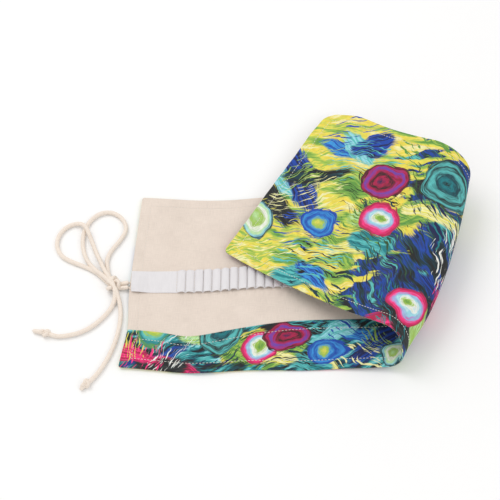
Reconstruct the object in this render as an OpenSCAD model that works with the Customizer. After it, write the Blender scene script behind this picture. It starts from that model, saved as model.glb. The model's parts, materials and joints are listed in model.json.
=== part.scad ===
// Brush roll case: a printed and lined cloth strip with a looped elastic band, lying partly open.
// The left end lies flat, and the right end is folded back over it along a slanted line.
// Strip coordinates: u runs along the strip, v from its front edge to its back edge, and
// o is the height over the seam plane between cover and lining, positive on the lining side.

/* [Cloth strip] */
// Length of the strip when flat
strip_len = 535; // [480:5:600]
// Width of the strip, front edge to back edge
strip_w = 200; // [180:5:230]
// Thickness of the printed cover cloth
cover_t = 0.8; // [0.5:0.1:1]
// Thickness of the cotton lining
lining_t = 0.7; // [0.4:0.1:1]
// Depth of the printed facing along the front edge
facing_w = 48; // [30:1:60]
// Thickness of the facing cloth
facing_t = 0.7; // [0.4:0.1:0.8]
// How far the cloth leans out of square, as run per unit of width
lean = 0.068; // [0:0.002:0.08]

/* [Fold] */
// Place of the fold along the front edge
fold_at = 253; // [250:1:260]
// Direction of the fold line, from the front edge
fold_dir = 73; // [72:0.5:74]
// Radius of the soft loop at the fold, at mid width
loop_r = 24.4; // [24:0.1:25]
// How far the loop turns before the flap leaves it
loop_turn = 208; // [207:1:209]
// Direction of the flap at its free end
flap_turn = 180; // [179:0.5:180.5]
// How much wider the loop is at the back edge than at the front, as a share
loop_taper = 0.2; // [0.15:0.01:0.22]
// Slope of the base where the loop starts
rise_slope = 9; // [8:0.5:10]
// Length over which the base rises to the loop
rise_len = 70; // [60:5:80]
// Height of the curled left end
end_curl = 2; // [0:0.5:3]
// Length of the curled left end
end_curl_len = 80; // [60:5:90]

/* [Elastic band] */
// Width of the elastic
band_w = 25; // [20:1:30]
// Thickness of the elastic
band_t = 0.7; // [0.5:0.1:0.8]
// Distance of the band from the front edge
band_v = 89; // [80:1:95]
// Number of sewn loops
loop_count = 48; // [46:1:48]
// Spacing of the loops
loop_pitch = 8.6; // [8.4:0.1:8.8]
// Distance of the first seam from the left end
first_seam = 45.5; // [42:0.5:48]
// Clear height inside a loop
loop_h = 4.6; // [4.4:0.1:4.8]

/* [Tie cord] */
// Diameter of the cotton cord
cord_d = 4.4; // [4:0.1:4.5]

/* [Hidden] */

// The part's origin, a point of the flat underside, in strip coordinates
origin_u = 110;
origin_v = 100;

// Clearances: between cloth layers, under the elastic, at its seams, and at the cuts between bodies
layer_gap = 0.05;
band_gap = 0.2;
seam_gap = 0.04;
cut_gap = 0.15;

// Bodies of the strip, in order along it, and how many pieces each curved stretch is made of
BASE = 0;
FLAP = 4;
rise_steps = 6;
loop_steps = 32;
flap_steps = 14;
curl_steps = 5;
end_steps = 6;

loop_arc = loop_r * (loop_turn - rise_slope) * PI / 180;
flap_end = (strip_len - fold_at) * sin(fold_dir);
hinge_steps = [for (k = [0:3]) loop_arc * (k + 0.5) / 4];
body_cuts = concat([undef], hinge_steps, [undef]);

lining_top = layer_gap + lining_t;
facing_top = lining_top + layer_gap + facing_t;
band_floor = lining_top + band_gap;
band_mid = band_v + band_w / 2;

// Half widths of a loop of elastic, inside and outside
sewn_half = 1.5;
loop_in = loop_pitch / 2 - sewn_half;
loop_out = loop_in + band_t;

// Displacement along an arc of length len whose direction turns from a0 to a1 degrees
function arc(len, a0, a1) =
    abs(a1 - a0) < 0.001
        ? len * [cos(a0), sin(a0)]
        : let (r = len * 180 / PI / (a1 - a0)) r * [sin(a1) - sin(a0), cos(a0) - cos(a1)];

// The strip's section across the fold: [along, height, direction] at arc length s from the loop's start
function section(s) =
    s <= -rise_len ? [s, 0, 0]
    : s <= 0 ? rise_section(s)
    : s <= loop_arc ? loop_section(s)
    : flap_section(s);

function placed(start, step, dir) = [start[0] + step[0], start[1] + step[1], dir];

function rise_section(s) =
    let (dir = rise_slope * (s + rise_len) / rise_len)
    placed([-rise_len, 0], arc(s + rise_len, 0, dir), dir);

function loop_section(s) =
    let (dir = rise_slope + (loop_turn - rise_slope) * s / loop_arc)
    placed(rise_section(0), arc(s, rise_slope, dir), dir);

function flap_section(s) =
    let (dir = loop_turn + (flap_turn - loop_turn) * (s - loop_arc) / (flap_end - loop_arc))
    placed(loop_section(loop_arc), arc(s - loop_arc, loop_turn, dir), dir);

// A point of the cloth, at u, v and height o over the seam plane
function cloth_point(u, v, o) =
    let (
        run = u + lean * v - fold_at,
        across = run * sin(fold_dir) - v * cos(fold_dir),
        along = run * cos(fold_dir) + v * sin(fold_dir),
        size = 1 + loop_taper * (along / strip_w - 0.5),
        place = section(across / size),
        out = size * place[0] - o * sin(place[2]),
        up = size * place[1] + o * cos(place[2]) + end_curl * pow(max(0, 1 - u / end_curl_len), 2)
    )
    [
        fold_at + out * sin(fold_dir) + along * cos(fold_dir) - origin_u,
        along * sin(fold_dir) - out * cos(fold_dir) - origin_v,
        up + cover_t
    ];

// Where the straight line of the fold at arc length s crosses the strip, as u at v
function ruling_u(s, v) =
    let (k = s * loop_taper / strip_w)
    fold_at - lean * v
        + (s * (1 - loop_taper / 2) + v * (k * sin(fold_dir) + cos(fold_dir)))
        / (sin(fold_dir) - k * cos(fold_dir));

// A line across the strip is [s, share, u]: it runs along the fold at arc length s, and by the
// given share it is turned square to the strip at u
function fold_line(s) = [s, 0, 0];
function square_line(u) = [0, 1, u];
function line_u(line, v) = (1 - line[1]) * ruling_u(line[0], v) + line[1] * line[2];

curl_lines = [for (i = [0:curl_steps]) square_line(end_curl_len * i / curl_steps)];
rise_lines = [for (i = [0:rise_steps]) fold_line(-rise_len * (1 - i / rise_steps))];
flap_lines = [
    for (i = [0:flap_steps - 1])
        let (s = loop_arc + (flap_end - loop_arc) * i / flap_steps)
        if (ruling_u(s, strip_w) < strip_len) fold_line(s)
];

// Past the flap's last full line the cuts turn square to the strip, to meet its end
last_full_s = flap_lines[len(flap_lines) - 1][0];
end_lines = [for (i = [1:end_steps]) [last_full_s, i / end_steps, strip_len]];

function loop_lines(from, to) = [
    for (i = [1:loop_steps - 1])
        let (s = loop_arc * i / loop_steps)
        if (s > from + cut_gap && s < to - cut_gap) fold_line(s)
];

function body_lines(body) =
    let (from = body_cuts[body], to = body_cuts[body + 1])
    body == BASE ? concat(curl_lines, rise_lines, loop_lines(0, to), [fold_line(to - cut_gap)])
    : body == FLAP ? concat([fold_line(from + cut_gap)], loop_lines(from, loop_arc), flap_lines, end_lines)
    : concat([fold_line(from + cut_gap)], loop_lines(from, to), [fold_line(to - cut_gap)]);

// A closed solid through a list of rings of points
module skin(rings) {
    n = len(rings[0]);
    last = len(rings) - 1;
    polyhedron(
        points = [for (ring = rings) each ring],
        faces = concat(
            [[for (k = [0:n - 1]) k]],
            [for (i = [0:last - 1], k = [0:n - 1]) [i * n + k, (i + 1) * n + k, i * n + (k + 1) % n]],
            [
                for (i = [0:last - 1], k = [0:n - 1])
                    [i * n + (k + 1) % n, (i + 1) * n + k, (i + 1) * n + (k + 1) % n]
            ],
            [[for (k = [n - 1:-1:0]) last * n + k]]
        )
    );
}

// One layer of cloth of a body, from v0 to v1 and from height low to high
module layer(body, v0, v1, low, high) {
    skin([
        for (line = body_lines(body))
            [
                cloth_point(line_u(line, v0), v0, low),
                cloth_point(line_u(line, v0), v0, high),
                cloth_point(line_u(line, v1), v1, high),
                cloth_point(line_u(line, v1), v1, low)
            ]
    ]);
}

module cover(body) {
    color("mediumseagreen") layer(body, 0, strip_w, -cover_t, 0);
}

module lining(body) {
    color("antiquewhite") layer(body, 0, strip_w, layer_gap, lining_top);
}

module facing(body) {
    color("royalblue") layer(body, 0, facing_w, lining_top + layer_gap, facing_top);
}

// Seams of the elastic: seam k lies at seam_b(k), measured along the band
function seam_b(k) = first_seam + k * loop_pitch;
function nearest_seam(s) = round((ruling_u(s, band_mid) - first_seam) / loop_pitch);
seam_cuts = concat([0], [for (s = hinge_steps) nearest_seam(s)], [loop_count]);

// A point of the band: b along it, square to its length, so that the loops run true
function band_point(b, v, o) = cloth_point(b - lean * (v - band_mid), v, o);

// A station of the elastic: [b, o] of its lower side and of its upper side
function band_ring(low, high) = [
    band_point(low[0], band_v, low[1]),
    band_point(high[0], band_v, high[1]),
    band_point(high[0], band_v + band_w, high[1]),
    band_point(low[0], band_v + band_w, low[1])
];

// Half of a loop's outline, from its seam to its crown: [inside, outside] offsets and heights
half_loop = [
    [[-loop_in, 0], [-loop_out, band_t]],
    [[-loop_in, 0.7 * loop_h], [-loop_out, 0.76 * loop_h]],
    [[-0.8 * loop_in, 0.93 * loop_h], [-0.76 * loop_out, loop_h + 0.6 * band_t]],
    [[0, loop_h], [0, loop_h + band_t]]
];
function mirrored(p) = [[-p[0][0], p[0][1]], [-p[1][0], p[1][1]]];
loop_outline = concat(half_loop, [for (i = [len(half_loop) - 2:-1:0]) mirrored(half_loop[i])]);

function lifted(b, p) = [b + p[0], band_floor + p[1]];
function flat_ring(b, o) = band_ring([b, o], [b, o + band_t]);

// The loop between seams k and k + 1, standing back from each by its gap
function loop_rings(k, gap_before, gap_after) =
    let (crown = seam_b(k) + loop_pitch / 2)
    concat(
        [flat_ring(seam_b(k) + gap_before, band_floor)],
        [for (p = loop_outline) band_ring(lifted(crown, p[0]), lifted(crown, p[1]))],
        [flat_ring(seam_b(k + 1) - gap_after, band_floor)]
    );

// The sewn-down ends of the elastic: over the cord at the left, flat on the flap
anchor_t = 2.6;
anchor_l = 14;
tail_start = 1;
tail_end = strip_len - 4;
tail_step = 12;

module left_tail() {
    skin([
        flat_ring(tail_start, band_floor + anchor_t),
        flat_ring(anchor_l + 1, band_floor + anchor_t),
        flat_ring(anchor_l + 10, band_floor),
        flat_ring(seam_b(0) - seam_gap, band_floor)
    ]);
}

module right_tail() {
    last_seam = seam_b(loop_count);
    skin([
        flat_ring(last_seam + seam_gap, band_floor),
        for (b = [last_seam + tail_step / 2:tail_step:tail_end - tail_step / 2])
            flat_ring(b, band_floor),
        flat_ring(tail_end, band_floor)
    ]);
}

// The elastic of a body, parted at every seam
module elastic(body) {
    from = seam_cuts[body];
    to = seam_cuts[body + 1];
    color("whitesmoke") {
        if (body == BASE) left_tail();
        for (k = [from:to - 1])
            skin(loop_rings(
                k,
                k == from && body != BASE ? cut_gap : seam_gap,
                k == to - 1 && body != FLAP ? cut_gap : seam_gap
            ));
        if (body == FLAP) right_tail();
    }
}

// Thread of each seam that ties the elastic down between two loops
thread_w = 0.5;
thread_t = 0.3;
thread_inset = 0.8;
thread_gap = 0.1;

// A point of a seam: at b along the band and o high, with share of the way across the elastic
function seam_point(b, o, share) =
    (1 - share) * band_point(b, band_v, o) + share * band_point(b, band_v + band_w, o);

module seam_thread(k) {
    low = band_floor + band_t + thread_gap;
    high = low + thread_t;
    inset = thread_inset / band_w;
    skin([
        for (b = [seam_b(k) - thread_w / 2, seam_b(k) + thread_w / 2])
            [
                seam_point(b, low, inset),
                seam_point(b, high, inset),
                seam_point(b, high, 1 - inset),
                seam_point(b, low, 1 - inset)
            ]
    ]);
}

module loop_seams(body) {
    from = seam_cuts[body] + (body == BASE ? 0 : 1);
    color("gainsboro") for (k = [from:seam_cuts[body + 1]]) seam_thread(k);
}

// The folded middle of the cord, sewn flat under the end of the elastic
cord_z = 4.4;
cord_exit_x = -104.2;
cord_exit_a = -3.5;
cord_exit_b = -9;

module cord_anchor() {
    from_u = cord_exit_x + origin_u - lean * (origin_v + cord_exit_b);
    u_steps = [from_u, 2, 6, 10, anchor_l];
    v0 = origin_v + cord_exit_b - cord_d / 2;
    v1 = origin_v + cord_exit_a + cord_d / 2;
    color("antiquewhite") skin([
        for (u = u_steps)
            [
                cloth_point(u - lean * (v0 - v1) / 2, v0, lining_top + layer_gap),
                cloth_point(u - lean * (v0 - v1) / 2, v0, lining_top + anchor_t),
                cloth_point(u + lean * (v0 - v1) / 2, v1, lining_top + anchor_t),
                cloth_point(u + lean * (v0 - v1) / 2, v1, lining_top + layer_gap)
            ]
    ]);
}

// Routes of the two halves of the cord: out of the case, through the knot, round a loop of the
// bow, back over the knot and out along a tail
rest_z = 2.4;
route_a = [
    [cord_exit_x, cord_exit_a, cord_z], [-109, -4, 3.6], [-115, -4.5, 2.6], [-120.5, -1, rest_z],
    [-124.5, 5, rest_z], [-126.5, 13, rest_z], [-127.5, 24, rest_z], [-124, 35, rest_z],
    [-117, 46, rest_z], [-111.5, 58, rest_z], [-112.5, 68, rest_z], [-118, 76, rest_z],
    [-127, 81, rest_z], [-137, 80, rest_z], [-145, 74, rest_z], [-150, 66, rest_z],
    [-153, 56, rest_z], [-153.5, 45, rest_z], [-151, 32, rest_z], [-146, 21, 2.6],
    [-138.5, 11, 4.5], [-131, 3.5, 7], [-123.5, -4, 7.4], [-117.5, -11.5, 7],
    [-114, -20, 4.5], [-111.5, -30, rest_z], [-110.5, -42, rest_z], [-111.5, -56, rest_z],
    [-114.5, -71, rest_z], [-120, -87, rest_z], [-127, -101, rest_z], [-133.5, -110, rest_z],
    [-138.5, -115, 3], [-143.5, -121, rest_z]
];
route_b = [
    [cord_exit_x, cord_exit_b, cord_z], [-109, -9, 3.6], [-115, -8.5, 2.6], [-122, -5.5, rest_z],
    [-128.5, 0.5, rest_z], [-135, 7, rest_z], [-142, 12, rest_z], [-152, 17, rest_z],
    [-162.5, 21.5, rest_z], [-171.5, 27, rest_z], [-177, 35, rest_z], [-179, 44, rest_z],
    [-177, 54, rest_z], [-171, 62.5, rest_z], [-163, 66.5, 2.6], [-156, 65, 5],
    [-151, 60, 7], [-147.5, 53, 5.5], [-144, 45, 2.8], [-138.5, 31, 2.6],
    [-134, 21, 4], [-130.5, 12.5, 6.4], [-126, 4, 7.4], [-120.5, -5, 7.6],
    [-117.5, -14, 6.5], [-117.5, -23, 3.5], [-121, -33, rest_z], [-128.5, -43.5, rest_z],
    [-137.5, -52.5, rest_z], [-148, -59, rest_z], [-159.5, -62.5, rest_z], [-170, -63.5, rest_z],
    [-181, -60.5, 3], [-194, -57.5, rest_z]
];
cord_sides = 8;

function unit(p) = p / norm(p);
function heading(route, i) = unit(route[min(i + 1, len(route) - 1)] - route[max(i - 1, 0)]);

// Ring of points round a route's point, square to its heading
function cord_ring(route, i) =
    let (
        ahead = heading(route, i),
        side = unit(cross(ahead, [0, 0, 1])),
        up = cross(side, ahead)
    )
    [
        for (k = [0:cord_sides - 1])
            let (a = 360 * k / cord_sides)
            route[i] + cord_d / 2 * (side * cos(a) + up * sin(a))
    ];

module cord(route) {
    color("linen") skin([for (i = [0:len(route) - 1]) cord_ring(route, i)]);
}

// A rounded lump for a pulled-tight knot: half sizes along the cord, across it and upwards
module knot(place, turn, size) {
    levels = [-80, -55, -30, 0, 30, 55, 80];
    color("linen") translate(place) rotate([0, 0, turn]) skin([
        for (a = levels)
            [
                for (k = [0:11])
                    [size[0] * sin(a), size[1] * cos(a) * cos(30 * k), size[2] * cos(a) * sin(30 * k)]
            ]
    ]);
}

module bow_knot() {
    knot([-119, -6, 5.3], 65, [10.5, 7.5, 5]);
}

module end_knot_a() {
    knot(route_a[len(route_a) - 2] + [0, 0, 0.6], 52, [6, 3.8, 3.5]);
}

module end_knot_b() {
    knot(route_b[len(route_b) - 2] + [0, 0, 0.6], -15, [6, 3.8, 3.5]);
}

module cover_base() { cover(0); }
module cover_fold_1() { cover(1); }
module cover_fold_2() { cover(2); }
module cover_fold_3() { cover(3); }
module cover_flap() { cover(4); }
module lining_base() { lining(0); }
module lining_fold_1() { lining(1); }
module lining_fold_2() { lining(2); }
module lining_fold_3() { lining(3); }
module lining_flap() { lining(4); }
module facing_base() { facing(0); }
module facing_fold_1() { facing(1); }
module facing_fold_2() { facing(2); }
module facing_fold_3() { facing(3); }
module facing_flap() { facing(4); }
module elastic_base() { elastic(0); }
module elastic_fold_1() { elastic(1); }
module elastic_fold_2() { elastic(2); }
module elastic_fold_3() { elastic(3); }
module elastic_flap() { elastic(4); }
module loop_seams_base() { loop_seams(0); }
module loop_seams_fold_1() { loop_seams(1); }
module loop_seams_fold_2() { loop_seams(2); }
module loop_seams_fold_3() { loop_seams(3); }
module loop_seams_flap() { loop_seams(4); }
module cord_a() { cord(route_a); }
module cord_b() { cord(route_b); }

cover_base();
cover_fold_1();
cover_fold_2();
cover_fold_3();
cover_flap();
lining_base();
lining_fold_1();
lining_fold_2();
lining_fold_3();
lining_flap();
facing_base();
facing_fold_1();
facing_fold_2();
facing_fold_3();
facing_flap();
elastic_base();
elastic_fold_1();
elastic_fold_2();
elastic_fold_3();
elastic_flap();
loop_seams_base();
loop_seams_fold_1();
loop_seams_fold_2();
loop_seams_fold_3();
loop_seams_flap();
cord_anchor();
cord_a();
cord_b();
bow_knot();
end_knot_a();
end_knot_b();
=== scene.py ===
"""Brush roll case: the looks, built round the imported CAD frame. Metres, in the row frame.

Strip coordinates are those of the CAD: u runs along the cloth strip, v from its front edge to its
back edge, and o is the height over the seam plane, positive on the lining side.
"""
import json
import math

import bpy
import numpy as np
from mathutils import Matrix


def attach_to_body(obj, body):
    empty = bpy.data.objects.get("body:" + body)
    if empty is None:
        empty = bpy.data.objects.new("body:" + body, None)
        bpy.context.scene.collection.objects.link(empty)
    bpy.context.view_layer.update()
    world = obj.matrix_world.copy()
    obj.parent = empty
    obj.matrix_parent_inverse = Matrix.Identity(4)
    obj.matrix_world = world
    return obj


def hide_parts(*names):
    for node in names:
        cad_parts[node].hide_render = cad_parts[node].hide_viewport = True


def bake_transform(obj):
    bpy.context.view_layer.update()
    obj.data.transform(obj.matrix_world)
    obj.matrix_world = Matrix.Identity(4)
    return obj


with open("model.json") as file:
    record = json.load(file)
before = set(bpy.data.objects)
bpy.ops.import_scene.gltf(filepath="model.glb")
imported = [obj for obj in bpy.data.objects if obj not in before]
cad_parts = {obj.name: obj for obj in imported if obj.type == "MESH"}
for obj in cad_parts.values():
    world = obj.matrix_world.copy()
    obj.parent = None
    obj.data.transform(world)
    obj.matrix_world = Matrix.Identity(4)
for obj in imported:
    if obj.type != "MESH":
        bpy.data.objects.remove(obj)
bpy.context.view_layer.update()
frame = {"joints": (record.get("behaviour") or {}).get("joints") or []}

MM = 0.001

# The cloth strip
STRIP_LEN = 535 * MM
STRIP_W = 200 * MM
FACING_DEPTH = 50 * MM
COVER_T = 0.8 * MM
LINING_LOW = 0.05 * MM
LINING_TOP = 0.75 * MM
FACING_LOW = 0.8 * MM
FACING_TOP = 1.5 * MM
# How far the cloth leans out of square, as run per unit of width
LEAN = 0.068
# The part's origin in strip coordinates
ORIGIN = np.array([110, 100]) * MM

# The fold, with its turns and its slope in degrees
FOLD_AT = 253 * MM
FOLD_DIR = math.radians(73)
LOOP_R = 24.4 * MM
LOOP_TURN = 208
FLAP_TURN = 180
LOOP_TAPER = 0.2
RISE_SLOPE = 9
RISE_LEN = 70 * MM
END_CURL = 2 * MM
END_CURL_LEN = 80 * MM
LOOP_ARC = LOOP_R * math.radians(LOOP_TURN - RISE_SLOPE)
FLAP_END = (STRIP_LEN - FOLD_AT) * math.sin(FOLD_DIR)

# The elastic band
BAND_W = 25 * MM
BAND_T = 0.7 * MM
BAND_V = 89 * MM
BAND_MID = BAND_V + BAND_W / 2
BAND_FLOOR = LINING_TOP + 0.2 * MM
LOOP_COUNT = 48
LOOP_PITCH = 8.6 * MM
FIRST_SEAM = 45.5 * MM
BAND_START = 1 * MM
BAND_END = STRIP_LEN - 4 * MM
SEAM_GAP = 1 * MM

# The cord, and where it goes in under the elastic
CORD_D = 4.4 * MM
CORD_V = 94 * MM

BODIES = ["base", "fold_1", "fold_2", "fold_3", "flap"]
HINGES = sorted(frame["joints"], key=lambda joint: joint["name"])


# ---------------------------------------------------------------- camera, light and floor

def make_camera():
    """A long lens, looking along +Y and down."""
    target = np.array([13.8, 38.1, 0.8]) * MM
    distance, elevation, heading = 1.396, math.radians(56.5), math.radians(0.5)
    level = distance * math.cos(elevation)
    data = bpy.data.cameras.new("camera")
    data.lens = 100.8
    data.sensor_width = 36
    data.clip_start = 0.05
    data.clip_end = 20
    camera = bpy.data.objects.new("camera", data)
    camera.location = target + [
        level * math.sin(heading), -level * math.cos(heading), distance * math.sin(elevation)
    ]
    camera.rotation_euler = (math.pi / 2 - elevation, 0, heading)
    bpy.context.scene.collection.objects.link(camera)
    bpy.context.scene.camera = camera


def area_light(name, place, aim, size, power):
    data = bpy.data.lights.new(name, "AREA")
    data.shape = "DISK"
    data.size = size
    data.energy = power
    light = bpy.data.objects.new(name, data)
    light.location = place
    way = np.array(aim, float) - place
    light.rotation_euler = (
        math.atan2(math.hypot(way[0], way[1]), -way[2]), 0, math.atan2(way[1], way[0]) - math.pi / 2
    )
    bpy.context.scene.collection.objects.link(light)


def make_light():
    world = bpy.data.worlds.new("studio")
    world.use_nodes = True
    background = world.node_tree.nodes["Background"]
    background.inputs["Color"].default_value = (1, 0.995, 0.985, 1)
    background.inputs["Strength"].default_value = 0.8
    bpy.context.scene.world = world
    area_light("key", (-0.8, 0.6, 1.6), (0.05, 0.02, 0), 1.2, 10)
    area_light("fill", (1.1, -0.9, 1.4), (0.05, 0.02, 0), 1.2, 5)
    bpy.context.scene.view_settings.view_transform = "Standard"


def make_floor():
    half, drop = 3, -0.2 * MM
    mesh = bpy.data.meshes.new("floor")
    corners = [(x * half, y * half, drop) for x, y in ((-1, -1), (1, -1), (1, 1), (-1, 1))]
    mesh.from_pydata(corners, [], [(0, 1, 2, 3)])
    floor = bpy.data.objects.new("floor", mesh)
    bpy.context.scene.collection.objects.link(floor)
    graph = Graph("floor")
    graph.surface((0.93, 0.93, 0.93, 1), 0.9)
    mesh.materials.append(graph.material)


# ---------------------------------------------------------------- materials

def colour(red, green, blue):
    """A colour given as 0 to 255 per channel, as the linear values that nodes take."""
    channels = [c / 255 for c in (red, green, blue)]
    return tuple(c / 12.92 if c <= 0.04045 else ((c + 0.055) / 1.055) ** 2.4 for c in channels) + (1,)


class Graph:
    """A material's nodes, with short ways to add and join them. Points are in millimetres."""

    def __init__(self, name):
        self.material = bpy.data.materials.new(name)
        self.material.use_nodes = True
        self.tree = self.material.node_tree
        self.tree.nodes.clear()

    def node(self, kind, inputs, **settings):
        """A node whose inputs are values or come from other nodes' outputs."""
        made = self.tree.nodes.new(kind)
        for key, value in settings.items():
            setattr(made, key, value)
        for key, value in inputs.items():
            if isinstance(value, bpy.types.NodeSocket):
                self.tree.links.new(value, made.inputs[key])
            else:
                made.inputs[key].default_value = value
        return made

    def math(self, operation, a, b=0.0, c=0.0):
        return self.node("ShaderNodeMath", {0: a, 1: b, 2: c}, operation=operation).outputs[0]

    def vector(self, operation, a, b=(0, 0, 0)):
        return self.node("ShaderNodeVectorMath", {0: a, 1: b}, operation=operation).outputs[0]

    def ramp(self, value, low, high, start=0.0, end=1.0):
        """value, mapped from low to high onto start to end, with soft ends."""
        inputs = {0: value, 1: low, 2: high, 3: start, 4: end}
        return self.node("ShaderNodeMapRange", inputs, interpolation_type="SMOOTHSTEP").outputs[0]

    def mix(self, share, a, b):
        return self.node("ShaderNodeMix", {0: share, 6: a, 7: b}, data_type="RGBA").outputs[2]

    def colours(self, value, stops):
        """A colour ramp through stops of (place, colour)."""
        made = self.node("ShaderNodeValToRGB", {0: value})
        for _ in range(len(stops) - 2):
            made.color_ramp.elements.new(0.5)
        for element, (place, paint) in zip(made.color_ramp.elements, stops):
            element.position = place
            element.color = paint
        return made.outputs[0]

    def point(self):
        """The strip coordinates, from the piece's UV map, in millimetres."""
        uv = self.node("ShaderNodeUVMap", {}, uv_map="strip").outputs[0]
        return self.vector("MULTIPLY", uv, (1000, 1000, 0))

    def local(self, point, centre, half, turn):
        """The point in the frame of an ellipse: its length there is 1 on the ellipse."""
        inputs = {
            0: point, "Location": (*centre, 0), "Rotation": (0, 0, math.radians(turn)),
            "Scale": (half[0], half[1], 1)
        }
        return self.node("ShaderNodeMapping", inputs, vector_type="TEXTURE").outputs[0]

    def length(self, point):
        return self.node("ShaderNodeVectorMath", {0: point}, operation="LENGTH").outputs["Value"]

    def texture(self, kind, point, centre, half, turn, output, inputs=None, **settings):
        """A texture node that sees the point in the frame of an ellipse, as local() does.

        The node's own mapping does it, because Cycles can hold only so many vectors in a long chain of paint.
        """
        made = self.node(kind, {"Vector": point, **(inputs or {})}, **settings)
        made.texture_mapping.vector_type = "TEXTURE"
        made.texture_mapping.translation = (*centre, 0)
        made.texture_mapping.rotation = (0, 0, math.radians(turn))
        made.texture_mapping.scale = (*half, 1)
        return made.outputs[output]

    def noise(self, point, size, detail=2.0, roughness=0.5, turn=0, output="Fac"):
        """Noise with cells of about size millimetres: one number, or one along turn and one across it."""
        size = size if hasattr(size, "__len__") else (size, size)
        inputs = {"Scale": 1.0, "Detail": detail, "Roughness": roughness}
        return self.texture(
            "ShaderNodeTexNoise", point, (0, 0), size, turn, output, inputs, noise_dimensions="3D"
        )

    def distance(self, point, centre, half, turn):
        """Distance from an ellipse's centre: 1 on the ellipse, and right as far as its reach."""
        reach = 1.8
        inside = self.texture(
            "ShaderNodeTexGradient", point, centre, (half[0] * reach, half[1] * reach), turn, "Fac",
            gradient_type="SPHERICAL",
        )
        return self.math("MULTIPLY_ADD", inside, -reach, reach)

    def surface(self, paint, roughness, height=None, depth=0.1 * MM, sheen=0.0):
        bsdf = self.node(
            "ShaderNodeBsdfPrincipled",
            {"Base Color": paint, "Roughness": roughness, "Sheen Weight": sheen, "IOR": 1.4},
        )
        if height is not None:
            bump = self.node("ShaderNodeBump", {"Height": height, "Distance": depth, "Strength": 1.0})
            self.tree.links.new(bump.outputs[0], bsdf.inputs["Normal"])
        self.node("ShaderNodeOutputMaterial", {0: bsdf.outputs[0]})

    def weave(self, point, pitch):
        """Height of a plain weave: threads that pass over and under each other."""
        split = self.node("ShaderNodeSeparateXYZ", {0: point})
        waves = [
            self.math("SINE", self.math("MULTIPLY", split.outputs[axis], math.pi / pitch))
            for axis in (0, 1)
        ]
        checks = self.math("MULTIPLY", waves[0], waves[1])
        return self.math("MULTIPLY_ADD", checks, 0.5, 0.5)


LIME = colour(156, 192, 78)
LEAF = colour(94, 150, 62)
MOSS = colour(44, 78, 40)
YELLOW = colour(226, 218, 88)
GOLD = colour(236, 212, 70)
CREAM = colour(238, 234, 170)
WHITE = colour(238, 238, 232)
ROYAL = colour(14, 68, 168)
SKY = colour(52, 146, 216)
NAVY = colour(10, 22, 74)
BLACK = colour(15, 16, 20)
CHARCOAL = colour(36, 42, 44)
TEAL = colour(16, 124, 132)
DEEP_TEAL = colour(8, 54, 66)
TURQUOISE = colour(88, 188, 186)
AQUA = colour(150, 214, 226)
MINT = colour(184, 222, 160)
PINK = colour(246, 50, 128)
CRIMSON = colour(176, 14, 72)
VIOLET = colour(104, 62, 168)
LAVENDER = colour(164, 160, 216)


class Painting:
    """A painterly print, laid down stroke by stroke over a ground."""

    def __init__(self, graph, point, ground):
        """The ground and the strokes see the point bent, broadly and finely, so that none is straight."""
        self.graph = graph
        bends = []
        for size, reach in ((38, 24), (8, 4)):
            bend = graph.vector("SUBTRACT", graph.noise(point, size, 1, 0.5, 0, "Color"), (0.5, 0.5, 0.5))
            bends.append(graph.vector("MULTIPLY", bend, (reach, reach, 0)))
        self.point = graph.vector("ADD", point, graph.vector("ADD", *bends))
        self.paint = ground(self)

    def lay(self, mask, paint):
        self.paint = self.graph.mix(mask, self.paint, paint)

    def dab(self, paint, second, centre, half, turn):
        """Two paints streaked together, with the dry ends of a brush stroke."""
        graph = self.graph
        bristles = graph.noise(self.point, (half[0] * 0.7, half[1] * 0.1), 3, 0.6, turn)
        away = graph.distance(self.point, centre, half, turn)
        edge = graph.math("MULTIPLY_ADD", graph.math("SUBTRACT", bristles, 0.5), 0.8, away)
        mask = graph.ramp(edge, 0.88, 1.12, 1, 0)
        self.lay(mask, paint)
        streaks = graph.noise(self.point, (half[0] * 1.1, half[1] * 0.2), 3, 0.5, turn)
        self.lay(graph.math("MULTIPLY", mask, graph.ramp(streaks, 0.58, 0.44)), second)

    def strokes(self, paint, centre, half, turn, length, width):
        """Many separate strokes in one direction, over a small share of a soft-edged ellipse."""
        graph = self.graph
        inside = graph.ramp(graph.distance(self.point, centre, half, turn), 0.7, 1.1, 1, 0)
        marks = graph.noise(self.point, (length, width), 2, 0.5, turn)
        # Noise seldom passes the high limit outside the ellipse, and more often the lower one inside it
        high, drop = 0.77, 0.2
        limit = graph.math("MULTIPLY_ADD", inside, -drop, high)
        self.lay(graph.ramp(graph.math("SUBTRACT", marks, limit), 0, 0.03), paint)

    def rings(self, stops, centre, half, turn):
        """Rings of paint round a centre, from (share of the radius, paint), drawn with curved strokes."""
        graph = self.graph
        local = graph.local(self.point, centre, half, turn)
        radius = graph.length(local)
        depth = graph.node("ShaderNodeCombineXYZ", {2: graph.math("DIVIDE", radius, 0.07)}).outputs[0]
        around = graph.vector("MULTIPLY", graph.vector("NORMALIZE", local), (1.1, 1.1, 0))
        frayed = graph.math("SUBTRACT", graph.noise(graph.vector("ADD", around, depth), 1, 2), 0.5)
        ragged = graph.math("MULTIPLY_ADD", frayed, 0.45, radius)
        self.lay(graph.ramp(ragged, 0.95, 1.0, 1, 0), graph.colours(ragged, stops))


def spread(k, step):
    """A share from 0 to 1 that jumps about evenly as k counts up."""
    return (k * step + 0.5) % 1


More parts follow.
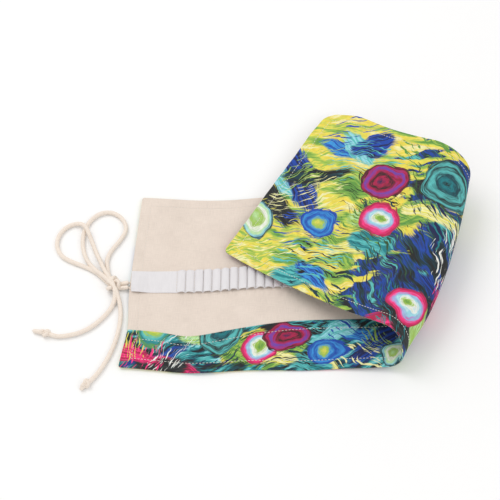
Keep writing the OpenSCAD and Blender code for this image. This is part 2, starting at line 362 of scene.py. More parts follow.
# Pairs of paint for the dabs, paints for the loose strokes, and rings of paint for the rounds
DABS = [
    (MINT, LIME), (ROYAL, NAVY), (YELLOW, CREAM), (BLACK, CHARCOAL), (TURQUOISE, AQUA), (LEAF, LIME),
    (PINK, CRIMSON), (ROYAL, SKY), (GOLD, YELLOW), (DEEP_TEAL, BLACK), (TEAL, TURQUOISE),
]
STROKES = [
    LEAF, CREAM, TEAL, BLACK, YELLOW, MOSS, ROYAL, WHITE, DEEP_TEAL, LIME, NAVY, TURQUOISE, PINK
]
ROUNDS = [
    [(0.0, LEAF), (0.2, LIME), (0.34, WHITE), (0.46, AQUA), (0.6, LAVENDER), (0.7, PINK), (0.94, CRIMSON)],
    [(0.0, WHITE), (0.25, YELLOW), (0.5, LIME), (0.68, TURQUOISE), (0.84, TEAL), (0.96, LEAF)],
    [(0.0, YELLOW), (0.3, LIME), (0.44, SKY), (0.6, ROYAL), (0.76, SKY), (0.9, ROYAL)],
    [
        (0.0, BLACK), (0.2, TEAL), (0.4, DEEP_TEAL), (0.55, TURQUOISE), (0.7, BLACK), (0.84, TURQUOISE),
        (0.95, BLACK),
    ],
    [(0.0, MINT), (0.35, LIME), (0.52, WHITE), (0.68, MINT), (0.82, AQUA), (0.94, DEEP_TEAL)],
    [
        (0.0, NAVY), (0.25, CRIMSON), (0.4, BLACK), (0.55, CRIMSON), (0.7, VIOLET), (0.85, CRIMSON),
        (0.95, BLACK),
    ],
]


def brushed(painting, turn, length, width, stops):
    """Colours brushed together in one direction."""
    graph = painting.graph
    broad = graph.noise(painting.point, (length, width), 2, turn=turn)
    fine = graph.noise(painting.point, (length * 0.6, width * 0.14), 2, turn=turn - 6)
    return graph.colours(graph.math("MULTIPLY_ADD", graph.math("SUBTRACT", fine, 0.5), 0.35, broad), stops)


def cover_ground(painting):
    """Yellow and lime at the strip's ends, which turn to blue and black towards its middle."""
    graph = painting.graph
    stops = [(0.36, LEAF), (0.45, LIME), (0.52, YELLOW), (0.6, GOLD), (0.68, CREAM)]
    bright = brushed(painting, -14, 44, 11, stops)
    stops = [(0.38, BLACK), (0.46, DEEP_TEAL), (0.52, ROYAL), (0.6, CHARCOAL), (0.66, TURQUOISE)]
    deep = brushed(painting, 34, 40, 12, stops)
    from_middle = graph.node("ShaderNodeSeparateXYZ", {0: painting.point}).outputs[0]
    border = graph.math("MULTIPLY_ADD", graph.noise(painting.point, (50, 9), 3, turn=-24), 260, from_middle)
    return graph.mix(graph.ramp(border, 248, 258), deep, bright)


def facing_ground(painting):
    """Turquoise, deep teal and black."""
    stops = [(0.4, BLACK), (0.46, DEEP_TEAL), (0.54, TEAL), (0.62, TURQUOISE), (0.72, AQUA)]
    return brushed(painting, 24, 24, 6, stops)


def abstract(painting, size, dabs, strokes, rounds, scale):
    """Dabs, loose strokes and rounds of paint, spread by rule over a rectangle from the point (0, 0).

    Each place, size and turn counts up in steps of its own, so that no two marks are alike.
    """

    def place(k, step_u, step_v):
        return size[0] * spread(k, step_u), size[1] * spread(k, step_v)

    for k in range(dabs):
        half = ((24 + 18 * spread(k, 0.37)) * scale, (7 + 9 * spread(k, 0.53)) * scale)
        turn = 90 * spread(k, 0.29) - 50
        painting.dab(*DABS[k % len(DABS)], place(k, 0.618, 0.755), half, turn)
    for k in range(strokes):
        half = (48 * scale, 32 * scale)
        turn = 150 * spread(k, 0.618) - 60
        width = 1.2 + 1.6 * spread(k, 0.41)
        painting.strokes(STROKES[k % len(STROKES)], place(k, 0.382, 0.57), half, turn, 24 * scale, width)
    for k in range(rounds):
        radius = (19 + 12 * spread(k, 0.45)) * scale
        turn = 60 * spread(k, 0.3)
        painting.rings(ROUNDS[k % len(ROUNDS)], place(k, 0.618, 0.44), (radius, radius * 0.75), turn)


# Where the print's two mirrored halves meet, in millimetres along the strip
PRINT_MIDDLE = 268


def paint_cover(graph, from_middle, v):
    """The cover's print."""
    point = graph.node("ShaderNodeCombineXYZ", {0: from_middle, 1: v}).outputs[0]
    art = Painting(graph, point, cover_ground)
    abstract(art, (PRINT_MIDDLE, STRIP_W / MM), 26, 26, 7, 1)
    return art.paint


def paint_facing(graph, from_middle, v):
    """The facing's print, laid out from the strip's end."""
    from_end = graph.math("SUBTRACT", PRINT_MIDDLE, from_middle)
    point = graph.node("ShaderNodeCombineXYZ", {0: from_end, 1: v}).outputs[0]
    art = Painting(graph, point, facing_ground)
    abstract(art, (PRINT_MIDDLE, FACING_DEPTH / MM), 18, 13, 6, 0.8)
    return art.paint


def printed_cloth(name, paint):
    """Canvas whose print is the same on both sides of the strip's middle, a little faded, and a little whiter
    on the raised tops of its threads.
    """
    graph = Graph(name)
    point = graph.point()
    split = graph.node("ShaderNodeSeparateXYZ", {0: point})
    from_middle = graph.math("ABSOLUTE", graph.math("SUBTRACT", split.outputs[0], PRINT_MIDDLE))
    painted = paint(graph, from_middle, split.outputs[1])
    value = graph.ramp(graph.noise(point, 5, 3), 0.3, 0.7, 0.88, 1.04)
    faded = graph.node("ShaderNodeHueSaturation", {"Color": painted, "Value": value}).outputs[0]
    threads = graph.weave(point, 0.5)
    # The print is mixed a little towards white where the weave stands highest
    whitened_on_thread_tops = graph.mix(graph.math("MULTIPLY", threads, 0.035), faded, WHITE)
    graph.surface(whitened_on_thread_tops, 0.85, threads, 0.08 * MM)
    return graph.material


def lining_cotton():
    """Natural cotton: uneven threads both ways, and a faint mottling."""
    graph = Graph("lining_cotton")
    point = graph.point()
    slubs = graph.math("ADD", graph.noise(point, (9, 0.5), 2), graph.noise(point, (0.5, 9), 2))
    mottled = graph.math("MULTIPLY_ADD", graph.noise(point, 24, 3), 0.8, slubs)
    paint = graph.colours(
        graph.math("MULTIPLY", mottled, 0.36), [(0.34, colour(216, 202, 190)), (0.66, colour(234, 220, 208))]
    )
    threads = graph.weave(point, 0.45)
    height = graph.math("MULTIPLY_ADD", slubs, 0.5, threads)
    graph.surface(paint, 0.9, height, 0.09 * MM, 0.08)
    return graph.material


def white_elastic():
    """Knitted elastic: ribs along its length, crossed by fine threads, with painted shade in the grooves
    between the ribs.
    """
    graph = Graph("white_elastic")
    point = graph.point()
    split = graph.node("ShaderNodeSeparateXYZ", {0: point})
    rib, pick = 1.25, 0.7
    wave = graph.math("SINE", graph.math("MULTIPLY", split.outputs[1], math.pi / rib))
    ribs = graph.math("ABSOLUTE", wave)
    picks = graph.math("SINE", graph.math("MULTIPLY", split.outputs[0], 2 * math.pi / pick))
    height = graph.math("MULTIPLY_ADD", picks, 0.22, ribs)
    # Painted shade: the colour is darker in the grooves between the ribs and lighter on their tops, over a
    # random tone from the noise
    shade = graph.math("MULTIPLY_ADD", graph.noise(point, (2, 14), 2), 0.3, graph.math("MULTIPLY", ribs, 0.5))
    paint = graph.colours(shade, [(0.1, colour(208, 205, 207)), (0.6, colour(232, 229, 231))])
    graph.surface(paint, 0.62, height, 0.12 * MM, 0.1)
    return graph.material


def spun_thread(name, dark, pale, twist):
    """Yarn: fine fibres that run across it at a slant."""
    graph = Graph(name)
    point = graph.point()
    fibres = graph.noise(point, (3, 0.35), 3, turn=twist)
    fuzz = graph.noise(point, 0.6, 2)
    shade = graph.math("MULTIPLY_ADD", fuzz, 0.4, graph.math("MULTIPLY", fibres, 0.6))
    paint = graph.colours(shade, [(0.3, dark), (0.62, pale)])
    graph.surface(paint, 0.88, fibres, 0.12 * MM, 0.15)
    return graph.material


# ---------------------------------------------------------------- the shape of the cloth

def smooth(value):
    value = np.clip(value, 0, 1)
    return value * value * (3 - 2 * value)


def hill(value, half):
    """1 at 0, falling away over about half."""
    return np.exp(-((value / half) ** 2))


def arc(length, start, end):
    """How far along and up an arc goes whose direction turns from start to end degrees."""
    middle, half = np.radians((start + end) / 2), np.radians((end - start) / 2)
    chord = length * np.sinc(half / np.pi)
    return chord * np.cos(middle), chord * np.sin(middle)


def section(s):
    """The strip's section across the fold at arc length s: along, up, and direction in degrees."""
    rise = np.clip(s + RISE_LEN, 0, RISE_LEN)
    loop = np.clip(s, 0, LOOP_ARC)
    flap = np.clip(s - LOOP_ARC, 0, None)
    rise_dir = RISE_SLOPE * rise / RISE_LEN
    loop_dir = RISE_SLOPE + (LOOP_TURN - RISE_SLOPE) * loop / LOOP_ARC
    flap_dir = LOOP_TURN + (FLAP_TURN - LOOP_TURN) * flap / (FLAP_END - LOOP_ARC)
    steps = [arc(rise, 0, rise_dir), arc(loop, RISE_SLOPE, loop_dir), arc(flap, LOOP_TURN, flap_dir)]
    along = np.minimum(s, -RISE_LEN) + sum(step[0] for step in steps)
    return along, sum(step[1] for step in steps), rise_dir + loop_dir - RISE_SLOPE + flap_dir - LOOP_TURN


def across_fold(u, v):
    """Arc length from the loop's start, distance along the fold, and the loop's size there."""
    run = u + LEAN * v - FOLD_AT
    along = run * math.cos(FOLD_DIR) + v * math.sin(FOLD_DIR)
    size = 1 + LOOP_TAPER * (along / STRIP_W - 0.5)
    return (run * math.sin(FOLD_DIR) - v * math.cos(FOLD_DIR)) / size, along, size


def ruling_u(s, v):
    """u at v of the straight line of the fold at arc length s."""
    k = s * LOOP_TAPER / STRIP_W
    reach = s * (1 - LOOP_TAPER / 2) + v * (k * math.sin(FOLD_DIR) + math.cos(FOLD_DIR))
    return FOLD_AT - LEAN * v + reach / (math.sin(FOLD_DIR) - k * math.cos(FOLD_DIR))


# The strip's corners in strip coordinates, each with its radius
CORNERS = [
    (0, 0, 2.5 * MM), (0, STRIP_W, 2.5 * MM), (STRIP_LEN, 0, 5 * MM), (STRIP_LEN, STRIP_W, 14 * MM)
]


def rounded(u, v):
    """u and v with the strip's four corners rounded."""
    for corner_u, corner_v, radius in CORNERS:
        side_u, side_v = (1 if corner_u else -1), (1 if corner_v else -1)
        in_u = np.maximum(0, (u - corner_u) * side_u + radius) / radius
        in_v = np.maximum(0, (v - corner_v) * side_v + radius) / radius
        pull = np.maximum(in_u, in_v) / np.maximum(np.hypot(in_u, in_v), 1e-9)
        pull = np.where((in_u > 0) & (in_v > 0), pull, 1)
        u = u + (pull - 1) * in_u * radius * side_u
        v = v + (pull - 1) * in_v * radius * side_v
    return u, v


def relief(u, v, s):
    """How far the cloth stands off its smooth shape: the flat part stands up, and the flap outwards."""
    # On the flat part: a buckle in the front edge, broad ripples, and puckers on both sides of the elastic
    buckle = 1.6 * hill(u - 0.074 + 0.35 * (v - 0.02), 0.02) * hill(v, 0.05)
    ripple = 0.3 * (1 + np.sin(u * 61 + 1.4 * np.sin(v * 37))) * smooth(u / 0.05) * smooth(-s / 0.04)
    along_band = (u + LEAN * (v - BAND_MID) - FIRST_SEAM) / LOOP_PITCH
    beside = hill(v - BAND_V + 0.001, 0.005) + hill(v - BAND_V - BAND_W - 0.001, 0.005)
    pucker = 0.6 * np.abs(np.sin(np.pi * along_band)) * beside * smooth(along_band)
    lying = (buckle + ripple + pucker) * MM * smooth(0.5 - s / 0.06)
    # On the flap: broad waves, and ruffles along the hems
    waves = 0.5 + 0.5 * np.sin(u * 47 + v * 29) + 0.4 + 0.4 * np.sin(v * 71 - u * 23 + 1)
    in_hem = hill(edge_distance(u, v) - 0.006, 0.006)
    ruffles = 0.35 * in_hem * (1 + np.sin(u * 330 + 2 * np.sin(u * 90)) * np.sin(v * 290 + 1))
    return lying - (waves + ruffles) * MM * smooth((s - LOOP_ARC) / 0.08)


def squared(u, v):
    """u and v after the strip's small errors of cutting: its two ends aren't quite square."""
    short = 8.5 * MM * (1 - v / STRIP_W) * smooth((u - 0.38) / 0.155)
    nipped = 4 * MM * hill(v - 0.042, 0.03) * smooth(1 - u / 0.05)
    return u - short + nipped, v


def cloth(u, v, o):
    """Points of the cloth at u, v and height o over the seam plane, with the small pulls of real cloth."""
    u, v = squared(*rounded(u, v))
    s, along_fold, size = across_fold(u, v)
    along, up, direction = section(s)
    turn = np.radians(direction)
    o = o + relief(u, v, s)
    # The loop bellies out most in the middle of the strip's width
    in_loop = np.sin(np.pi * np.clip(s / LOOP_ARC, 0, 1)) ** 2
    belly = (10 * np.sin(np.pi * (0.03 + 0.84 * v / STRIP_W)) - 8 * hill(v, 0.03)) * MM * in_loop
    out = size * along - o * np.sin(turn) + belly
    high = size * up + o * np.cos(turn) + END_CURL * np.clip(1 - u / END_CURL_LEN, 0, None) ** 2
    # The flap's back corner droops, and its back edge lifts beside that
    corner = np.hypot(u - STRIP_LEN, v - STRIP_W)
    high = high - 8 * MM * smooth(1 - corner / 0.045)
    high = high + 5 * MM * hill(u - 0.497, 0.03) * hill(v - STRIP_W, 0.05)
    # The flat part's front and back edges aren't straight
    front = 4.5 * hill(u - 0.072, 0.036) - 2 - smooth(1 - u / 0.03) - 1.8 * smooth((u - 0.17) / 0.05)
    back = 2.2 * hill(u - 0.065, 0.045) - 3.6 * smooth((u - 0.085) / 0.06)
    pulled = (front * smooth(1.1 - v / 0.11) + back * smooth(v / 0.15 - 0.3)) * MM * smooth(0.9 - s / 0.06)
    x = FOLD_AT + out * math.sin(FOLD_DIR) + along_fold * math.cos(FOLD_DIR)
    y = along_fold * math.sin(FOLD_DIR) - out * math.cos(FOLD_DIR) - pulled
    return np.stack([x - ORIGIN[0], y - ORIGIN[1], high + COVER_T], axis=-1)


def normals(u, v, height):
    """Unit normals of the surface at height(u, v), on its lining side."""
    step = 0.15 * MM
    along = cloth(u + step, v, height(u + step, v)) - cloth(u - step, v, height(u - step, v))
    across = cloth(u, v + step, height(u, v + step)) - cloth(u, v - step, height(u, v - step))
    found = np.cross(along, across)
    return found / np.maximum(np.linalg.norm(found, axis=-1, keepdims=True), 1e-15)


# ---------------------------------------------------------------- layers

HEM = 10 * MM


def edge_distance(u, v):
    return np.minimum(np.minimum(u, STRIP_LEN - u), np.minimum(v, STRIP_W - v))


def plump(distance, radius=1.3 * MM):
    """Share of the full thickness at a distance from a turned edge."""
    share = np.clip(1 - np.clip(distance, 0, radius) / radius, 0, 0.97)
    return np.sqrt(1 - share**2)


def facing_edge(u):
    """How deep the facing is at u: its upper edge was sewn a little unevenly."""
    rise = 41.5 + 13.5 * smooth((u - 0.055) / 0.14)
    return (rise - 2.5 * hill(u - 0.062, 0.02) + 1.2 * hill(u - 0.16, 0.03)) * MM


def groove(distance):
    """How deep a row of stitches draws the cloth down."""
    return 0.28 * MM * hill(distance, 1.1 * MM)


def hem_groove(u, v):
    return groove(edge_distance(u, v) - HEM)


def cover_high(u, v):
    return np.zeros_like(u + v)


def cover_low(u, v):
    return -COVER_T * plump(edge_distance(u, v)) + hem_groove(u, v) * 0.8


def lining_low(u, v):
    return LINING_LOW * plump(edge_distance(u, v))


def lining_high(u, v):
    return LINING_TOP * plump(edge_distance(u, v)) - hem_groove(u, v)


def facing_low(u, v):
    return FACING_LOW * plump(edge_distance(u, v))


def facing_high(u, v):
    turned = facing_edge(u) - v
    thick = (FACING_TOP - FACING_LOW) * plump(turned, 1.1 * MM) + 0.25 * MM * hill(turned - 0.004, 0.004)
    sunk = hem_groove(u, v) + groove(turned - HEM)
    return (FACING_LOW + thick) * plump(edge_distance(u, v)) - 0.8 * sunk


# ---------------------------------------------------------------- building pieces

# Each segment's name, its bodies, and the arc lengths across the fold where it starts and ends. None is an
# end of the strip.
SEGMENTS = (
    [("base", ["base"], None, 0.0)]
    + [
        (f"bend_{k}", BODIES[k - 1:k + 1], LOOP_ARC * (k - 1) / 4, LOOP_ARC * k / 4)
        for k in (1, 2, 3, 4)
    ]
    + [("flap", ["flap"], LOOP_ARC, None)]
)
STANDS_FOR = {"base": "base", "bend_1": "fold_1", "bend_2": "fold_2", "bend_3": "fold_3", "flap": "flap"}


def make_piece(name, points, faces, material, uv, vertex_normals=None):
    """A mesh piece, with its material in its one slot."""
    mesh = bpy.data.meshes.new(name)
    mesh.from_pydata([tuple(p) for p in points], [], faces)
    mesh.materials.append(material)
    mesh.polygons.foreach_set("use_smooth", [True] * len(mesh.polygons))
    loops = np.zeros(len(mesh.loops), int)
    mesh.loops.foreach_get("vertex_index", loops)
    layer = mesh.uv_layers.new(name="strip")
    layer.data.foreach_set("uv", uv[loops].ravel())
    if vertex_normals is not None:
        mesh.normals_split_custom_set_from_vertices([tuple(n) for n in vertex_normals])
    mesh.update()
    piece = bpy.data.objects.new(name, mesh)
    bpy.context.scene.collection.objects.link(piece)
    return piece


def attach(piece, segment, layer=None):
    """Rides a piece on its segment's body; a piece across a hinge only has its transform baked, and nothing
    binds it to the hinge.

    layer is the CAD layer whose node in that segment the piece replaces, if it replaces one.
    """
    name, bodies = segment[:2]
    if len(bodies) == 1:
        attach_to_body(piece, bodies[0])
    else:
        hinge = HINGES[BODIES.index(bodies[0])]
        place, axis = np.array(hinge["pos_m"]), np.array(hinge["axis"])
        # The way in which the cloth runs across the hinge
        s = (segment[2] + segment[3]) / 2
        v = STRIP_W / 2
        way = cloth(ruling_u(s + MM, v), v, 0.0) - cloth(ruling_u(s - MM, v), v, 0.0)
        way = way - axis * (way @ axis) / (axis @ axis)
        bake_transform(piece)
    if layer is not None and name in STANDS_FOR:
        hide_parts(f"{layer}_{STANDS_FOR[name]}")


def segment_u(segment, share, v):
    """u at v of the line that lies a share of the way along a segment."""
    start, end = segment[2:]
    first = 0 * v if start is None else ruling_u(start, v)
    last = STRIP_LEN + 0 * v if end is None else ruling_u(end, v)
    return first * (1 - share) + last * share


# Distances from an edge that follow its round, its hem and the stitches there
HEM_STATIONS = np.array([0, 0.25, 0.7, 1.4, 3, 5.5, 7.8, 9, 10, 11, 12.2, 14.5]) * MM


def stations(length, step, hem_first, hem_last):
    """Distances along a side: close together at a hem and its stitches, and a step apart elsewhere."""
    first = HEM_STATIONS if hem_first else np.array([0.0])
    last = length - HEM_STATIONS[::-1] if hem_last else np.array([length])
    count = max(2, round((last[0] - first[-1]) / step))
    return np.concatenate([first, np.linspace(first[-1], last[0], count + 1)[1:-1], last])


def closed_faces(rows, columns):
    """Faces of a closed slab between two grids of points, whose upper grid comes first."""
    index = np.arange(rows * columns).reshape(rows, columns)
    a, b, c, d = index[:-1, :-1], index[1:, :-1], index[1:, 1:], index[:-1, 1:]
    top = np.stack([a, b, c, d], axis=-1).reshape(-1, 4)
    rim = np.concatenate([index[:-1, 0], index[-1, :-1], index[:0:-1, -1], index[0, :0:-1]])
    after = np.roll(rim, -1)
    under = rows * columns
    walls = np.stack([rim, rim + under, after + under, after], axis=-1)
    return np.concatenate([top, top[:, ::-1] + under, walls]).tolist()


def slab(name, u, v, low, high, material):
    """A closed layer of cloth over a grid of u and v, between two heights."""
    points, directions = [], []
    for height, sign in ((high, 1), (low, -1)):
        points.append(cloth(u, v, height(u, v)).reshape(-1, 3))
        directions.append(normals(u, v, height).reshape(-1, 3) * sign)
    uv = np.tile(np.stack([u.ravel(), v.ravel()], axis=-1), (2, 1))
    faces = closed_faces(*u.shape)
    return make_piece(name, np.concatenate(points), faces, material, uv, np.concatenate(directions))


WHOLE_WIDTH = stations(STRIP_W, 3 * MM, True, True)
FACING_WIDTH = np.concatenate([
    HEM_STATIONS, np.linspace(16, 34, 8) * MM,
    FACING_DEPTH - np.array([14, 12, 10.8, 10, 9.2, 8, 6, 3.5, 1.6, 0.8, 0.3, 0]) * MM,
])


def cloth_layer(layer, low, high, material, v_side, edge=None):
    """One layer of cloth in all its segments. edge gives its depth at u, where that isn't the whole width."""
    for segment in SEGMENTS:
        name, bodies, start, end = segment
        length = STRIP_LEN - FOLD_AT - LOOP_ARC
        if end is not None:
            length = FOLD_AT if start is None else LOOP_ARC / 4
        shares = stations(length, 2.2 * MM, start is None, end is None) / length
        v = np.tile(v_side, (len(shares), 1))
        u = segment_u(segment, shares[:, None], v)
        width = float(v_side[-1])
        if edge is not None:
            v = v / width * edge(u)
        piece = slab(f"{layer}_cloth_{name}", u, v, low, high, material)
        attach(piece, segment, layer)


# ---------------------------------------------------------------- elastic

def seam_b(k):
    return FIRST_SEAM + k * LOOP_PITCH


def nearest_seam(s):
    return int(round((ruling_u(s, BAND_MID) - FIRST_SEAM) / LOOP_PITCH))


def band_edge(b):
    """The band's front edge: it was sewn a little further back on the right of the flat part."""
    return BAND_V + (-4 + 6.5 * smooth(b / 0.15)) * MM


def loop_shape(k):
    """Height and sideways lean of loop k: a few were sewn nearly flat, and the rest vary a little."""
    flat = 1.3 * hill(k - 0.5, 1.2) + 0.8 * hill(k - 3.5, 0.9)
    return (2.7 - flat + 0.25 * math.sin(2.3 * k + 1)) * MM, (0.5 + 0.4 * math.sin(3.7 * k + 0.5)) * MM


def loop_path(k, outside):
    """One side of a loop, from seam to seam: distances along the band and heights over its floor."""
    height, leaning = loop_shape(k)
    half = LOOP_PITCH / 2 - (0.3 if outside else 1.0) * MM
    # Half a superellipse: an arch a little squarer than a half circle
    angle = np.linspace(np.pi, 0, 19)
    power = 2 / 2.3
    across = np.sign(np.cos(angle)) * np.abs(np.cos(angle)) ** power * half
    up = np.abs(np.sin(angle)) ** power
    b = seam_b(k) + LOOP_PITCH / 2 + across + leaning * up
    return b, up * height + (BAND_T if outside else 0)


def tail_path(first, last, outside):
    """One side of the plain band between two distances along it."""
    b = np.linspace(first, last, max(4, int((last - first) / (2.5 * MM))))
    return b, np.full(len(b), BAND_T if outside else 0.0)


def over_cord(b, v):
    """How much the left end of the band stands up over the cord that is sewn under it."""
    return 2.9 * MM * smooth(1.5 - b / (13 * MM)) * smooth(1.35 - np.abs(v - CORD_V) / (11 * MM))


def elastic_band(material):
    """The band in all its segments, each one closed shell that is cut at a seam."""
    # Places across the band's width, and the loops between which the segments part
    shares = np.array([0, 0.02, 0.06, 0.14, 0.26, 0.4, 0.55, 0.7, 0.82, 0.91, 0.97, 1])
    cuts = [0] + [nearest_seam(segment[3]) for segment in SEGMENTS[:-1]] + [LOOP_COUNT]
    for segment, first, last in zip(SEGMENTS, cuts[:-1], cuts[1:]):
        layers = []
        for outside in (True, False):
            parts = [loop_path(k, outside) for k in range(first, last)]
            if segment[2] is None:
                parts.insert(0, tail_path(BAND_START, seam_b(0) - SEAM_GAP, outside))
            if segment[3] is None:
                parts.append(tail_path(seam_b(LOOP_COUNT) + SEAM_GAP, BAND_END, outside))
            layers.append([np.concatenate([part[i] for part in parts]) for i in (0, 1)])
        points, uv = [], []
        for b, up in layers:
            v = band_edge(b)[:, None] + shares * BAND_W
            # The loops' edges curl up and down a little
            flare = 0.3 * MM * (hill(shares, 0.06) + hill(1 - shares, 0.06)) * np.sin(b * 900)[:, None]
            height = np.maximum(up[:, None] + flare * (up[:, None] > BAND_T * 1.5), 0)
            o = BAND_FLOOR + height + over_cord(b[:, None], v)
            points.append(cloth(b[:, None] - LEAN * (v - BAND_MID), v, o))
            walked = np.concatenate([[0], np.cumsum(np.hypot(np.diff(b), np.diff(up)))])
            uv.append(np.stack(np.broadcast_arrays(b[0] + walked[:, None], v), axis=-1))
        rows, columns = points[0].shape[:2]
        piece = make_piece(
            f"elastic_band_{segment[0]}", np.reshape(points, (-1, 3)), closed_faces(rows, columns), material,
            np.reshape(uv, (-1, 2)),
        )
        piece.data.set_sharp_from_angle(angle=math.radians(55))
        attach(piece, segment, "elastic")


# ---------------------------------------------------------------- stitches

STITCH = 2.3 * MM
STITCH_PITCH = 3.3 * MM
THREAD_R = 0.26 * MM
# A stitch's rings: their places from end to end, their radii and their heights over the cloth
STITCH_SHARES = np.array([0, 0.12, 0.35, 0.65, 0.88, 1])
STITCH_THICK = np.array([0.3, 0.85, 1, 1, 0.85, 0.3]) * THREAD_R
STITCH_LIFT = np.array([-0.22, 0.08, 0.17, 0.17, 0.08, -0.22]) * MM
STITCH_SIDES = 6
# How far apart its rings and its sides lie on the UV map
STITCH_UV = np.array([0.4, 0.27]) * MM


def stitches(a, b, height, sign):
    """Points of stitches from points a to points b, each in u and v, that lie on the surface at height."""
    u = a[:, :1] + (b[:, :1] - a[:, :1]) * STITCH_SHARES
    v = a[:, 1:] + (b[:, 1:] - a[:, 1:]) * STITCH_SHARES
    up = normals(u, v, height) * sign
    spine = cloth(u, v, height(u, v)) + up * STITCH_LIFT[:, None]
    side = np.cross(np.gradient(spine, axis=1), up)
    side /= np.linalg.norm(side, axis=-1, keepdims=True)
    angle = np.linspace(0, 2 * np.pi, STITCH_SIDES, endpoint=False)
    ring = side[:, :, None] * np.cos(angle)[:, None] + up[:, :, None] * np.sin(angle)[:, None]
    return (spine[:, :, None] + ring * STITCH_THICK[:, None, None]).reshape(len(a), -1, 3)


def tube_faces(count, rings, sides):
    """Faces of that many tubes of rings, with closed ends."""
    index = np.arange(rings * sides).reshape(rings, sides)
    a, b = index[:-1], index[1:]
    quads = np.stack([a, np.roll(a, -1, 1), np.roll(b, -1, 1), b], axis=-1).reshape(-1, 4)
    faces = []
    for k in range(count):
        start = k * rings * sides
        faces += (quads + start).tolist()
        faces += [(index[0][::-1] + start).tolist(), (index[-1] + start).tolist()]
    return faces


def row_along(v_at):
    """Ends of the stitches of a row that runs along the strip at v_at(u)."""
    start = np.arange(HEM, STRIP_LEN - HEM - STITCH, STITCH_PITCH)
    return [np.stack([u, v_at(u) + 0 * u], axis=-1) for u in (start, start + STITCH)]


def row_across(u):
    """Ends of the stitches of a row that runs across the strip at u."""
    start = np.arange(HEM, STRIP_W - HEM - STITCH, STITCH_PITCH)
    return [np.stack([u + 0 * v, v], axis=-1) for v in (start, start + STITCH)]


def seam_rows():
    """Stitches across the elastic, at every seam between two loops."""
    starts, ends = [], []
    for k in range(LOOP_COUNT + 1):
        edge = band_edge(seam_b(k))
        v = np.arange(edge + 1 * MM, edge + BAND_W - STITCH, STITCH_PITCH)
        for found, shift in ((starts, 0), (ends, STITCH)):
            found.append(np.stack([seam_b(k) - LEAN * (v + shift - BAND_MID), v + shift], axis=-1))
    return [np.concatenate(starts), np.concatenate(ends)]


def elastic_floor(u, v):
    return np.full_like(u + v, BAND_FLOOR + BAND_T)


def top_face(u, v):
    return np.where(v < facing_edge(u), facing_high(u, v), lining_high(u, v))


def all_stitches(material):
    """Topstitching on both faces and the loops' seams, one piece of each for every segment."""
    hems = [
        row_along(lambda u: HEM), row_along(lambda u: STRIP_W - HEM),
        row_across(HEM), row_across(STRIP_LEN - HEM),
    ]
    topstitch = [(row, height, sign) for row in hems for height, sign in ((cover_low, -1), (top_face, 1))]
    topstitch.append((row_along(lambda u: facing_edge(u) - HEM), facing_high, 1))
    seams = [(seam_rows(), elastic_floor, 1)]
    rings = len(STITCH_SHARES)
    for kind, rows, layer in (("topstitch", topstitch, None), ("loop_seams", seams, "loop_seams")):
        for segment in SEGMENTS:
            low = -np.inf if segment[2] is None else segment[2]
            high = np.inf if segment[3] is None else segment[3]
            made = []
            for (a, b), height, sign in rows:
                s = across_fold(*((a + b) / 2).T)[0]
                here = (s >= low) & (s < high)
                if here.any():
                    made.append(stitches(a[here], b[here], height, sign))
            tubes = np.concatenate(made)
            along = np.tile(np.repeat(np.arange(rings), STITCH_SIDES), len(tubes))
            around = np.tile(np.arange(STITCH_SIDES), rings * len(tubes))
            piece = make_piece(
                f"{kind}_thread_{segment[0]}", tubes.reshape(-1, 3),
                tube_faces(len(tubes), rings, STITCH_SIDES), material,
                np.stack([along, around], axis=-1) * STITCH_UV,
            )
            attach(piece, segment, layer)


# ---------------------------------------------------------------- cord and knots

# The cord's two routes in millimetres, as in the CAD. REST_Z is the height of its middle on the ground.
REST_Z = 2.4
ROUTE_A = [
    (-104.2, -3.5, 4.4), (-109, -4, 3.6), (-115, -4.5, 2.6), (-120.5, -1, REST_Z),
    (-124.5, 5, REST_Z), (-126.5, 13, REST_Z), (-127.5, 24, REST_Z), (-124, 35, REST_Z),
    (-117, 46, REST_Z), (-111.5, 58, REST_Z), (-112.5, 68, REST_Z), (-118, 76, REST_Z),
    (-127, 81, REST_Z), (-137, 80, REST_Z), (-145, 74, REST_Z), (-150, 66, REST_Z),
    (-153, 56, REST_Z), (-153.5, 45, REST_Z), (-151, 32, REST_Z), (-146, 21, 2.6),
    (-138.5, 11, 4.5), (-131, 3.5, 7), (-123.5, -4, 7.4), (-117.5, -11.5, 7),
    (-114, -20, 4.5), (-111.5, -30, REST_Z), (-110.5, -42, REST_Z), (-111.5, -56, REST_Z),
    (-114.5, -71, REST_Z), (-120, -87, REST_Z), (-127, -101, REST_Z), (-133.5, -110, REST_Z),
    (-138.5, -115, 3), (-143.5, -121, REST_Z),
]
ROUTE_B = [
    (-104.2, -9, 4.4), (-109, -9, 3.6), (-115, -8.5, 2.6), (-122, -5.5, REST_Z),
    (-128.5, 0.5, REST_Z), (-135, 7, REST_Z), (-142, 12, REST_Z), (-152, 17, REST_Z),
    (-162.5, 21.5, REST_Z), (-171.5, 27, REST_Z), (-177, 35, REST_Z), (-179, 44, REST_Z),
    (-177, 54, REST_Z), (-171, 62.5, REST_Z), (-163, 66.5, 2.6), (-156, 65, 5),
    (-151, 60, 7), (-147.5, 53, 5.5), (-144, 45, 2.8), (-138.5, 31, 2.6),
    (-134, 21, 4), (-130.5, 12.5, 6.4), (-126, 4, 7.4), (-120.5, -5, 7.6),
    (-117.5, -14, 6.5), (-117.5, -23, 3.5), (-121, -33, REST_Z), (-128.5, -43.5, REST_Z),
    (-137.5, -52.5, REST_Z), (-148, -59, REST_Z), (-159.5, -62.5, REST_Z), (-170, -63.5, REST_Z),
    (-181, -60.5, 3), (-194, -57.5, REST_Z),
]


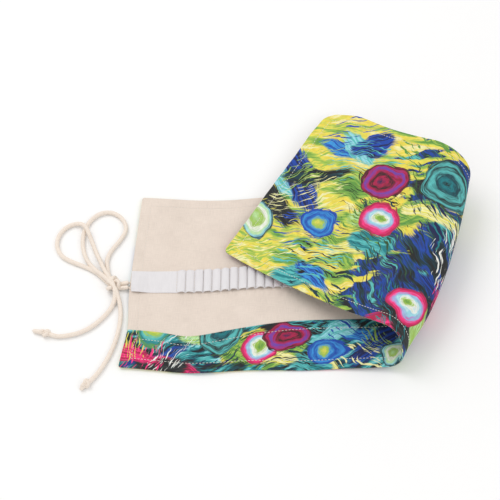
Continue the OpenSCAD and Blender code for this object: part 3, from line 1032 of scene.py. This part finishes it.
def curve_through(route, per_step=8):
    """A smooth line through the route's points."""
    p = np.concatenate([[2 * route[0] - route[1]], route, [2 * route[-1] - route[-2]]])
    t = np.linspace(0, 1, per_step, endpoint=False)[:, None]
    spans = []
    for a, b, c, d in zip(p[:-3], p[1:-2], p[2:-1], p[3:]):
        square, cube = 2 * a - 5 * b + 4 * c - d, 3 * b - a - 3 * c + d
        spans.append(0.5 * (2 * b + (c - a) * t + square * t**2 + cube * t**3))
    return np.concatenate(spans + [route[-1:]])


# The cord's plies, the length of their full turn, and the depth of their grooves as a share of its radius
PLIES = 3
LAY = 9 * MM
GROOVE = 0.1
CORD_SIDES = 20


def tube(name, line, radius, material, flat=1.0):
    """A laid cord along a line: its plies stand proud and wind round it. flat squeezes it from above."""
    ahead = np.gradient(line, axis=0)
    ahead /= np.linalg.norm(ahead, axis=1, keepdims=True)
    side = np.cross(ahead, [0, 0, 1])
    side /= np.maximum(np.linalg.norm(side, axis=1, keepdims=True), 1e-9)
    up = np.cross(side, ahead) * flat
    walked = np.concatenate([[0], np.cumsum(np.linalg.norm(np.diff(line, axis=0), axis=1))])
    angle = np.linspace(0, 2 * np.pi, CORD_SIDES, endpoint=False)
    phase = PLIES * (angle[None] - 2 * np.pi * walked[:, None] / LAY)
    proud = 1 - GROOVE * np.abs(np.cos(phase / 2)) ** 3
    ends = np.minimum(walked, walked[-1] - walked) / radius
    taper = np.sqrt(np.clip(1 - (1 - np.clip(ends, 0.06, 1)) ** 2, 0, 1))
    reach = (radius * proud * taper[:, None])[..., None]
    ring = side[:, None] * np.cos(angle)[:, None] + up[:, None] * np.sin(angle)[:, None]
    points = line[:, None] + reach * ring
    uv = np.stack(np.broadcast_arrays(walked[:, None], angle[None] * radius), axis=-1)
    faces = tube_faces(1, len(line), CORD_SIDES)
    return make_piece(name, points.reshape(-1, 3), faces, material, uv.reshape(-1, 2))


def knot_line(place, turn, size):
    """The line of an overhand knot pulled tight, fitted into half sizes."""
    t = np.linspace(0, 2 * np.pi, 121)[:-8]
    knot = [(np.sin(t) + 2 * np.sin(2 * t)) / 3, (np.cos(t) - 2 * np.cos(2 * t)) / 3, -np.sin(3 * t)]
    knot = np.stack(knot, axis=-1) * size
    c, s = math.cos(math.radians(turn)), math.sin(math.radians(turn))
    return place + knot @ np.array([[c, s, 0], [-s, c, 0], [0, 0, 1]])


def make_cords(material):
    """The cord's two halves, the bow's knot and the knots at the tips."""
    end_size = np.array([3.9, 2.5, 1.5]) * MM
    for letter, route, turn in (("a", ROUTE_A, 52), ("b", ROUTE_B, -15)):
        line = curve_through(np.array(route) * MM)
        rope = tube(f"cord_{letter}_rope", line, CORD_D / 2, material)
        place = np.array(route[-2]) * MM + [0, 0, 0.6 * MM]
        knot = tube(f"end_knot_{letter}_turns", knot_line(place, turn, end_size), 1.9 * MM, material)
        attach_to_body(rope, "base")
        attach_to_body(knot, "base")
        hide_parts(f"cord_{letter}")
        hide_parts(f"end_knot_{letter}")
        if letter == "a":
            turns = knot_line(np.array([-119, -6, 5.3]) * MM, 65, np.array([8, 5, 2.9]) * MM)
            bow = tube("bow_knot_turns", turns, 2.1 * MM, material)
            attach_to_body(bow, "base")
            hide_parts("bow_knot")


def make_anchor(material):
    """The folded middle of the cord, pressed flat under the end of the elastic."""
    z = 3.1
    inside = [
        (-104, -3.5, 3.6), (-101, -3.3, z), (-97, -3.2, z), (-94, -4.2, z), (-93, -6.2, z),
        (-94, -8.3, z), (-97, -9.2, z), (-101, -9.1, z), (-104, -9, 3.6),
    ]
    piece = tube("cord_middle", curve_through(np.array(inside) * MM, 6), 2 * MM, material, flat=0.62)
    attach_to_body(piece, "base")
    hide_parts("cord_anchor")


# ---------------------------------------------------------------- the case

make_camera()
cotton = spun_thread("cord_cotton", colour(220, 204, 190), colour(246, 235, 223), 35)
make_cords(cotton)
make_anchor(cotton)
make_light()
make_floor()

cover = printed_cloth("printed_cover", paint_cover)
facing = printed_cloth("printed_facing", paint_facing)
cloth_layer("cover", cover_low, cover_high, cover, WHOLE_WIDTH)
cloth_layer("lining", lining_low, lining_high, lining_cotton(), WHOLE_WIDTH)
cloth_layer("facing", facing_low, facing_high, facing, FACING_WIDTH, facing_edge)
elastic_band(white_elastic())
all_stitches(spun_thread("sewing_thread", colour(206, 198, 188), colour(238, 232, 224), 60))
